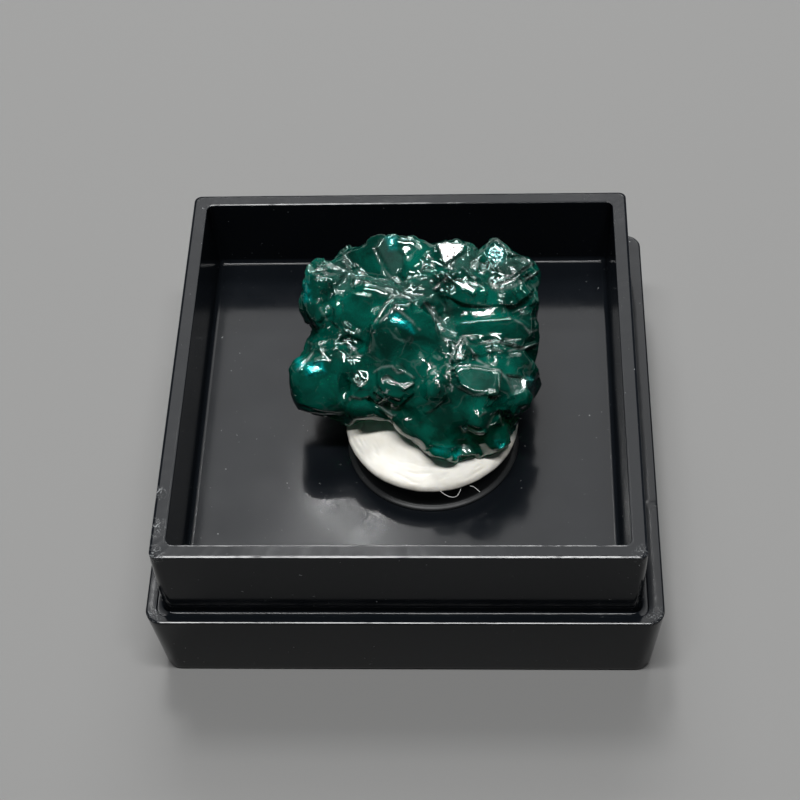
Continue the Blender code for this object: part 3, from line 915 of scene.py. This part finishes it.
def colour_mix(tree, share, first, second):
    node = add_node(tree, "ShaderNodeMix", data_type="RGBA")
    for socket, value in ((0, share), (6, first), (7, second)):
        if isinstance(value, bpy.types.NodeSocket):
            tree.links.new(value, node.inputs[socket])
        else:
            node.inputs[socket].default_value = (*value, 1.0) if socket else value
    return node.outputs[2]


def arithmetic(tree, operation, *values):
    return add_node(tree, "ShaderNodeMath", tuple(enumerate(values)), operation=operation).outputs[0]


def vector_arithmetic(tree, operation, *values, output="Vector"):
    node = add_node(tree, "ShaderNodeVectorMath", tuple(enumerate(values)), operation=operation)
    return node.outputs[output]


def bump(tree, height, strength, distance, normal=None):
    inputs = [("Height", height), ("Strength", strength), ("Distance", distance)]
    if normal:
        inputs.append(("Normal", normal))
    return add_node(tree, "ShaderNodeBump", inputs).outputs["Normal"]


def attribute_value(tree, name):
    return add_node(tree, "ShaderNodeAttribute", attribute_name=name).outputs["Fac"]


def fractures(tree):
    """Thin healed cracks and tiny specks, in patches."""
    warp = add_node(
        tree, "ShaderNodeTexNoise",
        (("Vector", object_coordinates(tree)), ("Scale", 500.0), ("Detail", 3.0)),
    ).outputs["Color"]
    shifted = vector_arithmetic(tree, "MULTIPLY_ADD", warp, (0.0016,) * 3, object_coordinates(tree))
    cells = add_node(
        tree, "ShaderNodeTexVoronoi", (("Vector", shifted), ("Scale", 420.0)), feature="DISTANCE_TO_EDGE",
    ).outputs["Distance"]
    cracks = remap(tree, cells, 0.0, 0.035, 0.55, 0.0)
    patches = remap(tree, noise_value(tree, 260, 3), 0.52, 0.66, 0.0, 1.0)
    specks = remap(tree, noise_value(tree, 5200, 2), 0.70, 0.76, 0.0, 0.8)
    crowd = remap(tree, noise_value(tree, 330, 2), 0.50, 0.62, 0.0, 1.0)
    cracked = arithmetic(tree, "MULTIPLY", cracks, patches)
    return arithmetic(tree, "MULTIPLY_ADD", specks, crowd, cracked)


def cleavage_planes(tree, scale):
    """Height of small flat faces, each tilted its own way, in metres."""
    place = object_coordinates(tree)
    cells = add_node(tree, "ShaderNodeTexVoronoi", (("Vector", place), ("Scale", scale)), feature="F1")
    offset = vector_arithmetic(tree, "SUBTRACT", place, cells.outputs["Position"])
    tilt = vector_arithmetic(tree, "SUBTRACT", cells.outputs["Color"], (0.5, 0.5, 0.5))
    return vector_arithmetic(tree, "DOT_PRODUCT", tilt, offset, output="Value")


def dioptase_material():
    """Clear deep green crystal with cloudy patches, milky veils and white bruised edges, with painted sheen,
    highlights, glow and cyan flashes.
    """
    material, tree, shader = node_material("dioptase_green")
    names = ("veil_and_sheen", "bruise_and_highlight", "cyan", "glow", "speckle")
    veil_and_sheen, bruise_and_highlight, cyan, glow, speckle = [attribute_value(tree, name) for name in names]
    cloud = remap(tree, noise_value(tree, 420, 4, 0.6, 0.6), 0.42, 0.72, 0.0, 1.0)
    # Painted glow: the cloudy body colour is lighter where light gathers
    cloud = arithmetic(tree, "MULTIPLY_ADD", glow, 0.8, cloud)
    body = colour_mix(tree, cloud, (0.0, 0.09, 0.062), (0.0, 0.30, 0.21))
    # Milky veil with painted sheen where faces mirror the ceiling, plus the fine healed cracks
    veil_and_sheen = arithmetic(tree, "ADD", veil_and_sheen, fractures(tree))
    body = colour_mix(tree, veil_and_sheen, body, (0.22, 0.42, 0.37))
    # Painted reflection: bright cyan flashes painted into the base colour, with the reflections tinted cyan
    # there
    streaks = remap(tree, noise_value(tree, 1500, 4, 0.6, 1.5), 0.38, 0.52, 0.15, 1.0)
    cyan = arithmetic(tree, "MULTIPLY", cyan, streaks)
    body = colour_mix(tree, cyan, body, (0.0, 1.0, 0.95))
    tree.links.new(colour_mix(tree, cyan, (1.0, 1.0, 1.0), (0.0, 0.85, 0.95)), shader.inputs["Specular Tint"])
    # Tiny white flecks in the speckled patches, partly painted glints
    flecks = remap(tree, noise_value(tree, 2400, 3, 0.7, 1.0), 0.54, 0.60, 0.0, 1.0)
    bruise_and_highlight = arithmetic(tree, "MAXIMUM", bruise_and_highlight, arithmetic(tree, "MULTIPLY", flecks, speckle))
    # White of bruised edges and flecks, partly painted highlight
    body = colour_mix(tree, bruise_and_highlight, body, (0.85, 0.95, 0.92))
    tree.links.new(body, shader.inputs["Base Color"])
    rough = remap(tree, noise_value(tree, 900, 3), 0.35, 0.7, 0.03, 0.12)
    tree.links.new(arithmetic(tree, "MULTIPLY_ADD", bruise_and_highlight, 0.22, rough), shader.inputs["Roughness"])
    shader.inputs["IOR"].default_value = 1.67
    shader.inputs["Specular IOR Level"].default_value = 0.29
    shader.inputs["Transmission Weight"].default_value = 0.75
    planes = bump(tree, cleavage_planes(tree, 700.0), 1.0, 0.38)
    uncut = arithmetic(tree, "MULTIPLY_ADD", attribute_value(tree, "flatness"), -1.0, 1.0)
    tree.links.new(uncut, planes.node.inputs["Strength"])
    ripples = bump(tree, noise_value(tree, 1600, 4, 0.55, 0.3), 0.25, 0.02 * MM, planes)
    chips = add_node(
        tree, "ShaderNodeTexVoronoi", (("Vector", object_coordinates(tree)), ("Scale", 2600.0)), feature="F1",
    ).outputs["Distance"]
    crushed = arithmetic(tree, "MULTIPLY", chips, bruise_and_highlight)
    tree.links.new(bump(tree, crushed, 0.5, 0.06 * MM, ripples), shader.inputs["Normal"])
    absorb = add_node(tree, "ShaderNodeVolumeAbsorption")
    absorb.inputs["Color"].default_value = (0.0, 0.74, 0.63, 1.0)
    absorb.inputs["Density"].default_value = 1000.0
    tree.links.new(absorb.outputs["Volume"], tree.nodes["Material Output"].inputs["Volume"])
    return material


def near_point(tree, point, radius):
    """1 at a point, falling to 0 at a distance."""
    away = vector_arithmetic(tree, "DISTANCE", object_coordinates(tree), point, output="Value")
    return remap(tree, away, radius * 0.2, radius, 1.0, 0.0)


def black_plastic_material(name, base, roughness, worn_and_glint_places=()):
    """Glossy moulded black plastic with dust, fine texture, pale scuffs at worn places and painted speckled
    highlights at glint places.
    """
    material, tree, shader = node_material(name)
    dust = remap(tree, noise_value(tree, 2600, 2), 0.735, 0.77, 0.0, 1.0)
    dust = arithmetic(tree, "MULTIPLY", dust, remap(tree, noise_value(tree, 210, 2), 0.46, 0.62, 0.15, 1.0))
    marks = remap(tree, noise_value(tree, 2300, 4, 0.7, 2.0), 0.53, 0.66, 0.0, 1.0)
    pale = dust
    for point, radius in worn_and_glint_places:
        near = near_point(tree, tuple(value * MM for value in point), radius * MM)
        # Pale scuffs at worn places, and painted speckled highlights where the tray's floor mirrors the glint
        # lamps
        scuff_and_glint = arithmetic(tree, "MULTIPLY", marks, near)
        pale = arithmetic(tree, "MAXIMUM", pale, scuff_and_glint)
    tone = colour_mix(tree, noise_value(tree, 130, 3), base, tuple(channel * 1.6 for channel in base))
    tree.links.new(colour_mix(tree, pale, tone, (0.22, 0.23, 0.235)), shader.inputs["Base Color"])
    shader.inputs["IOR"].default_value = 1.5
    shader.inputs["Specular IOR Level"].default_value = 0.19
    fine = remap(tree, noise_value(tree, 260, 5, 0.6), 0.3, 0.75, roughness * 0.7, roughness * 1.4)
    tree.links.new(arithmetic(tree, "MULTIPLY_ADD", pale, 0.35, fine), shader.inputs["Roughness"])
    grain = bump(tree, noise_value(tree, 3200, 2), 0.5, 0.0022 * MM)
    waves = bump(tree, noise_value(tree, 90, 2), 0.1, 0.05 * MM, grain)
    tree.links.new(bump(tree, pale, 0.4, 0.02 * MM, waves), shader.inputs["Normal"])
    return material


def putty_material():
    """Soft creamy putty, a little greyer and darker towards its lower rim."""
    material, tree, shader = node_material("white_putty")
    mottle = remap(tree, noise_value(tree, 300, 4, 0.6, 0.4), 0.35, 0.7, 0.0, 1.0)
    body = colour_mix(tree, mottle, (0.84, 0.81, 0.725), (0.93, 0.91, 0.845))
    height = add_node(tree, "ShaderNodeSeparateXYZ", ((0, object_coordinates(tree)),)).outputs["Z"]
    # Greyer and browner towards the bottom, in blotches
    low = remap(tree, height, 11.3 * MM, 12.1 * MM, 0.75, 0.0)
    blotches = remap(tree, noise_value(tree, 900, 4, 0.65), 0.35, 0.6, 0.2, 1.0)
    low_darkening = arithmetic(tree, "MULTIPLY", low, blotches)
    tree.links.new(colour_mix(tree, low_darkening, body, (0.42, 0.39, 0.33)), shader.inputs["Base Color"])
    shader.inputs["Roughness"].default_value = 0.6
    shader.inputs["Subsurface Weight"].default_value = 0.15
    shader.inputs["Subsurface Radius"].default_value = (0.8 * MM, 0.7 * MM, 0.5 * MM)
    tree.links.new(bump(tree, noise_value(tree, 700, 5, 0.6), 0.35, 0.04 * MM), shader.inputs["Normal"])
    return material


def lint_material():
    material, tree, shader = node_material("pale_lint")
    tree.links.new(
        colour_mix(tree, noise_value(tree, 2000, 2), (0.45, 0.46, 0.46), (0.75, 0.75, 0.73)),
        shader.inputs["Base Color"],
    )
    shader.inputs["Roughness"].default_value = 0.6
    return material


def rounded_square(half, corner, height, centre):
    """Points of a square ring with round corners, the same number of points for every size."""
    points = []
    for quarter in range(4):
        turn = Matrix.Rotation(math.radians(90 * quarter), 3, "Z")
        inner = half - corner
        for step in range(CORNER_STEPS + 1):
            angle = math.radians(90 * step / CORNER_STEPS)
            across, along = corner * math.cos(angle), corner * math.sin(angle)
            points.append(turn @ Vector((inner + across, inner + along, 0)))
        for step in range(1, SIDE_STEPS):
            points.append(turn @ Vector((inner - 2 * inner * step / SIDE_STEPS, half, 0)))
    return [point + Vector((centre[0], centre[1], height)) for point in points]


def arc_points(middle, radius, start, stop, steps):
    """Points of an arc as pairs of a distance outwards and a height. Angle 0 points outwards, 90 up."""
    angles = [math.radians(start + (stop - start) * step / steps) for step in range(steps + 1)]
    return [(middle[0] + radius * math.cos(angle), middle[1] + radius * math.sin(angle)) for angle in angles]


def flat(start, stop):
    """Two points just inside a straight stretch, which keep its shading flat."""
    start, stop = Vector(start), Vector(stop)
    inset = (stop - start).normalized() * 0.06
    return [tuple(start + inset), tuple(stop - inset)]


def glint_tilt(place, lamp):
    """How far an edge's small flat face tilts to the front, in degrees, to mirror a lamp to the camera."""
    normal = mirror_normal(Vector(place) * MM, lamp)
    return math.degrees(math.atan2(-normal.y, normal.z))


def worn_edge(side, top, width, tilt, outward=1):
    """Profile points of an upper edge that is worn to a small flat face, from its side to its top."""
    drop = width * math.tan(math.radians(abs(tilt)))
    low = Vector((side - outward * 0.03, top - drop))
    high = Vector((low.x - outward * width, top))
    inset = (high - low) * 0.12
    points = [Vector((side, low.y - 0.05)), Vector((side - outward * 0.01, low.y - 0.02)), low]
    points += [low + inset, high - inset, high, high - Vector((outward * 0.03, 0))]
    return [tuple(point) for point in points]


def box_sections():
    """The box's profile in mm from the hollow underneath, round the skirt and the tray, to the tray's floor.

    Each stretch is a corner radius, whether it is centred on the tray, and pairs of half width and height.
    """
    skirt_low, skirt_high, shelf = 20.0, 20.55, 8.3
    tray, rim, wall_top, wall_foot, floor = 19.0, 16.05, 17.8, 17.5, 8.93
    ledge = tray + 0.5
    under = 18.5
    hollow = [(under - 0.6, 6.9), (under - 0.5, 6.9)] + arc_points((under - 0.3, 6.6), 0.3, 90, 0, 3)
    hollow += flat((under, 6.6), (under, 0.2)) + [(under, 0.2)]
    hollow += arc_points((under + 0.2, 0.2), 0.2, 180, 270, 3)
    hollow += flat((under + 0.2, 0.0), (skirt_low - 0.25, 0.0))
    skirt = arc_points((skirt_low - 0.25, 0.25), 0.25, 270, 355, 4)
    skirt += [(skirt_low + 0.02, 0.5), (skirt_high - 0.012, shelf - 0.35)]
    skirt += worn_edge(skirt_high, shelf, 0.09, glint_tilt((0, -20.4, shelf), "overhead_strip"))
    step = arc_points((ledge + 0.05, shelf - 0.05), 0.05, 90, 180, 2)
    step += arc_points((ledge - 0.05, shelf - 0.13), 0.03, 0, -90, 2)
    step += flat((ledge - 0.05, shelf - 0.16), (tray + 0.05, shelf - 0.16)) + [(tray, shelf - 0.11)]
    wall = flat((tray, shelf), (tray, rim - 0.2))
    wall += worn_edge(tray, rim, 0.16, glint_tilt((0, -19.3, rim), "overhead_strip"))
    inner = worn_edge(wall_top, rim, 0.12, glint_tilt((0, -18.3, rim), "back_strip"), -1)
    wall += [inner[-1]] + inner[-2::-1]
    inside = flat((wall_top, rim - 0.12), (wall_foot, floor + 0.45))
    inside += arc_points((wall_foot - 0.45, floor + 0.45), 0.45, 0, -90, 6)
    inside += [(wall_foot - 0.52, floor), (wall_foot - 1.2, floor)]
    return (
        (0.9, False, hollow), (SKIRT_CORNER, False, skirt),
        (0.9, True, step), (0.6, True, wall), (0.45, True, inside),
    )


def loft_rings(bm, rings):
    """Join rings of points with faces and close the first and the last."""
    loops = [[bm.verts.new(point) for point in ring] for ring in rings]
    for low, high in zip(loops, loops[1:]):
        for index, vertex in enumerate(low):
            following = (index + 1) % len(low)
            bm.faces.new((vertex, low[following], high[following], high[index]))
    bm.faces.new(tuple(reversed(loops[0])))
    bm.faces.new(tuple(loops[-1]))


def chip(places, middle, radius, depth):
    """Press a small dent into a surface, downwards."""
    away = np.linalg.norm(places - np.array(middle), axis=1)
    places[:, 2] -= depth * (1 - smoothstep(0.3, 1.0, away / radius))


def make_box(material):
    """The box with rounded moulded edges, nicks in its rim and worn corners."""
    bm = bmesh.new()
    rings = []
    for corner, on_tray, points in box_sections():
        centre = TRAY_CENTRE if on_tray else (0.0, 0.0)
        rings += [rounded_square(half * MM, corner * MM, height * MM, centre) for half, height in points]
    loft_rings(bm, rings)
    mesh = mesh_from(bm, "box_shell")
    places = read_vectors(mesh.vertices, "co")
    near_rim = smoothstep(15.6 * MM, 15.9 * MM, places[:, 2])
    near_shelf = smoothstep(7.7, 8.0, places[:, 2] / MM) * (1 - smoothstep(8.3, 8.5, places[:, 2] / MM))
    wear = noise_field(places, 0.45 * MM, 11) * 0.010 + noise_field(places, 1.6 * MM, 12) * 0.012
    places[:, 2] += wear * (near_rim + near_shelf * 0.8) * MM
    for pixel, height, radius, depth in CHIPS:
        chip(places, pixel_on_level(*pixel, height * MM), radius * MM, depth * MM)
    write_places(mesh, places)
    mesh.shade_smooth()
    box = add_object("box_shell", mesh, material)
    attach(box, "root")
    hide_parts("display_box")


def turned_mesh(name, profile, centre, steps):
    """Turn a profile, pairs of a radius and a height in mm, about an upright axis."""
    bm = bmesh.new()
    rings = []
    for radius, height in profile:
        ring = []
        for step in range(steps):
            angle = 2 * math.pi * step / steps
            ring.append(Vector((centre[0] + radius * MM * math.cos(angle),
                                centre[1] + radius * MM * math.sin(angle), height * MM)))
        rings.append(ring)
    loft_rings(bm, rings)
    return mesh_from(bm, name)


def make_pedestal(material):
    """A black disc with a soft flange at its foot."""
    foot, top, radius, wall = 8.93, 11.23, 7.15, 6.7
    profile = [(radius - 0.5, foot), (radius - 0.05, foot)]
    profile += arc_points((radius - 0.12, foot + 0.12), 0.12, -60, 70, 4)
    profile += [(radius - 0.12, foot + 0.25), (wall + 0.16, foot + 0.33)]
    profile += arc_points((wall + 0.15, foot + 0.48), 0.15, 265, 185, 4)
    profile += flat((wall, foot + 0.5), (wall, top - 0.22))
    profile += arc_points((wall - 0.22, top - 0.22), 0.22, 0, 90, 4) + [(wall - 0.3, top), (wall - 1.0, top)]
    mesh = turned_mesh("black_disc", profile, DISC_CENTRE, 160)
    mesh.shade_smooth()
    disc = add_object("black_disc", mesh, material)
    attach(disc, "root")
    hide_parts("pedestal")


def make_putty(material):
    """Putty pressed into a soft lens, wrinkled and pinched along its rim."""
    bottom, radius, rise = 11.23, 7.1, 2.3
    profile = [(radius - 1.2, bottom), (radius - 0.4, bottom)]
    profile += arc_points((radius - 0.3, bottom + 0.3), 0.3, -80, 20, 6)
    for share in np.linspace(0.985, 0.02, 90):
        profile.append((radius * share, bottom + 0.42 + (rise - 0.42) * (1 - share**2.1) ** 0.62))
    mesh = turned_mesh("putty_pad", profile, PUTTY_CENTRE, 220)
    places = read_vectors(mesh.vertices, "co")
    offset = places[:, :2] - np.array(PUTTY_CENTRE)
    reach = np.hypot(offset[:, 0], offset[:, 1]) / MM
    turn = np.arctan2(offset[:, 1], offset[:, 0])
    along = np.stack([np.cos(turn) * 3.0, np.sin(turn) * 3.0, reach * 2.4], axis=1)
    folds = noise_field(along, 0.55, 21)
    lumps = noise_field(places, 2.6 * MM, 22)
    pores = noise_field(places, 0.5 * MM, 23)
    upper = smoothstep(bottom + 0.05, bottom + 0.5, places[:, 2] / MM)
    near_rim = smoothstep(4.6, 6.6, reach)
    creases = 0.07 * near_rim * smoothstep(0.1, 0.6, folds)
    places[:, 2] += upper * (0.10 * lumps + 0.012 * pores - creases) * MM
    swell = 1 + 0.012 * lumps * near_rim + 0.004 * pores * near_rim
    places[:, :2] = np.array(PUTTY_CENTRE) + offset * swell[:, None]
    write_places(mesh, places)
    mesh.shade_smooth()
    putty = add_object("putty_pad", mesh, material)
    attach(putty, "root")
    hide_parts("putty")


def pixel_on_front(x, y):
    """The place on the skirt's sloping front face that a pixel of the photograph shows."""
    ray = pixel_ray(x, y)
    normal = Vector((0, -8.3, 0.55)).normalized()
    start = Vector((0, -20.0 * MM, 0))
    return CAMERA_PLACE + ray * ((start - CAMERA_PLACE).dot(normal) / ray.dot(normal))


def smooth_path(points, steps=6):
    """Points on a smooth curve through a few points."""
    path = []
    padded = [points[0]] + list(points) + [points[-1]]
    for before, start, stop, after in zip(padded, padded[1:], padded[2:], padded[3:]):
        for step in range(steps):
            share = step / steps
            path.append(0.5 * (
                2 * start + (stop - before) * share + (2 * before - 5 * start + 4 * stop - after) * share**2
                + (3 * start - before - 3 * stop + after) * share**3
            ))
    path.append(points[-1])
    return path


def add_thread(bm, path, radius, sides=6):
    """A thin round thread along a path, closed at both ends."""
    rings = []
    for index, place in enumerate(path):
        along = (path[min(index + 1, len(path) - 1)] - path[max(index - 1, 0)]).normalized()
        side = along.cross(Vector((0.1, 0.2, 1.0))).normalized()
        up = side.cross(along)
        ring = []
        for step in range(sides):
            angle = 2 * math.pi * step / sides
            ring.append(place + (side * math.cos(angle) + up * math.sin(angle)) * radius)
        rings.append(ring)
    loft_rings(bm, rings)


def make_lint(material):
    """The lint that the photograph shows: two hairs of the putty, and short threads on the box."""
    bm = bmesh.new()
    for pixels, height in PUTTY_HAIRS:
        path = [pixel_on_level(*pixel, height * MM) for pixel in pixels]
        add_thread(bm, smooth_path(path), HAIR_RADIUS)
    for pixels in SKIRT_LINT:
        path = [pixel_on_front(*pixel) for pixel in pixels]
        add_thread(bm, smooth_path(path), HAIR_RADIUS * 1.2)
    mesh = mesh_from(bm, "lint")
    mesh.shade_smooth()
    lint = add_object("lint", mesh, material)
    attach(lint, "root")


def make_floor():
    bm = bmesh.new()
    bmesh.ops.create_grid(bm, x_segments=1, y_segments=1, size=1.5)
    mesh = mesh_from(bm, "studio_floor")
    material, _, shader = node_material("pale_floor")
    shader.inputs["Base Color"].default_value = (0.20, 0.20, 0.197, 1.0)
    shader.inputs["Roughness"].default_value = 0.9
    floor = add_object("studio_floor", mesh, material)


def area_light(name, place, aim, size, radiance, colour=(1.0, 1.0, 1.0)):
    data = bpy.data.lights.new(name, "AREA")
    data.shape = "RECTANGLE"
    data.size, data.size_y = size
    data.energy = radiance * 4 * size[0] * size[1]
    data.color = colour
    item = bpy.data.objects.new(name, data)
    item.location = place
    item.rotation_mode = "QUATERNION"
    item.rotation_quaternion = (Vector(aim) - Vector(place)).to_track_quat("-Z", "Y")
    bpy.context.scene.collection.objects.link(item)


# Two small lamps that the tray's floor mirrors at these pixels: name, pixel, size in metres
FLOOR_GLINTS = (
    ("glint_left", (328, 506), (0.005, 0.004)),
    ("glint_right", (370, 524), (0.006, 0.004)),
)
GLINT_RADIANCE = 260.0

# The ceiling that the tray's floor mirrors, as panels over each other so that it fades outwards
CEILING_PANELS = (
    ("ceiling_middle", (0.34, 0.28), 2.5),
    ("ceiling_around", (0.50, 0.42), 1.4),
    ("ceiling_outer", (0.70, 0.60), 0.7),
)
CEILING_DIRECTION = (182, 54)
CEILING_DISTANCE = 0.75
TRAY_FLOOR_HEIGHT = 8.93 * MM


def make_lights():
    world = bpy.data.worlds.new("studio")
    world.use_nodes = True
    background = world.node_tree.nodes["Background"]
    background.inputs["Color"].default_value = (0.9, 0.95, 1.0, 1.0)
    background.inputs["Strength"].default_value = 0.04
    bpy.context.scene.world = world
    for name, size, radiance in CEILING_PANELS:
        area_light(name, AIM + direction_from(*CEILING_DIRECTION) * CEILING_DISTANCE, AIM, size, radiance)
    for name, (azimuth, elevation, width, height, radiance) in LAMPS.items():
        place = AIM + direction_from(azimuth, elevation) * LAMP_DISTANCE
        area_light(name, place, AIM, (width, height), radiance)
    for name, pixel, size in FLOOR_GLINTS:
        spot = pixel_on_level(*pixel, TRAY_FLOOR_HEIGHT)
        ray = pixel_ray(*pixel)
        area_light(name, spot + Vector((ray.x, ray.y, -ray.z)) * LAMP_DISTANCE, spot, size, GLINT_RADIANCE)


def look():
    scene = bpy.context.scene
    scene.view_settings.view_transform = "Standard"
    scene.view_settings.look = "None"


make_camera()
make_floor()
make_lights()
look()
make_crystals(dioptase_material())
make_box(black_plastic_material("black_box_plastic", (0.004, 0.005, 0.0065), 0.13, WORN_AND_GLINT_PLACES))
make_pedestal(black_plastic_material("black_disc_plastic", (0.017, 0.018, 0.019), 0.36))
make_putty(putty_material())
make_lint(lint_material())
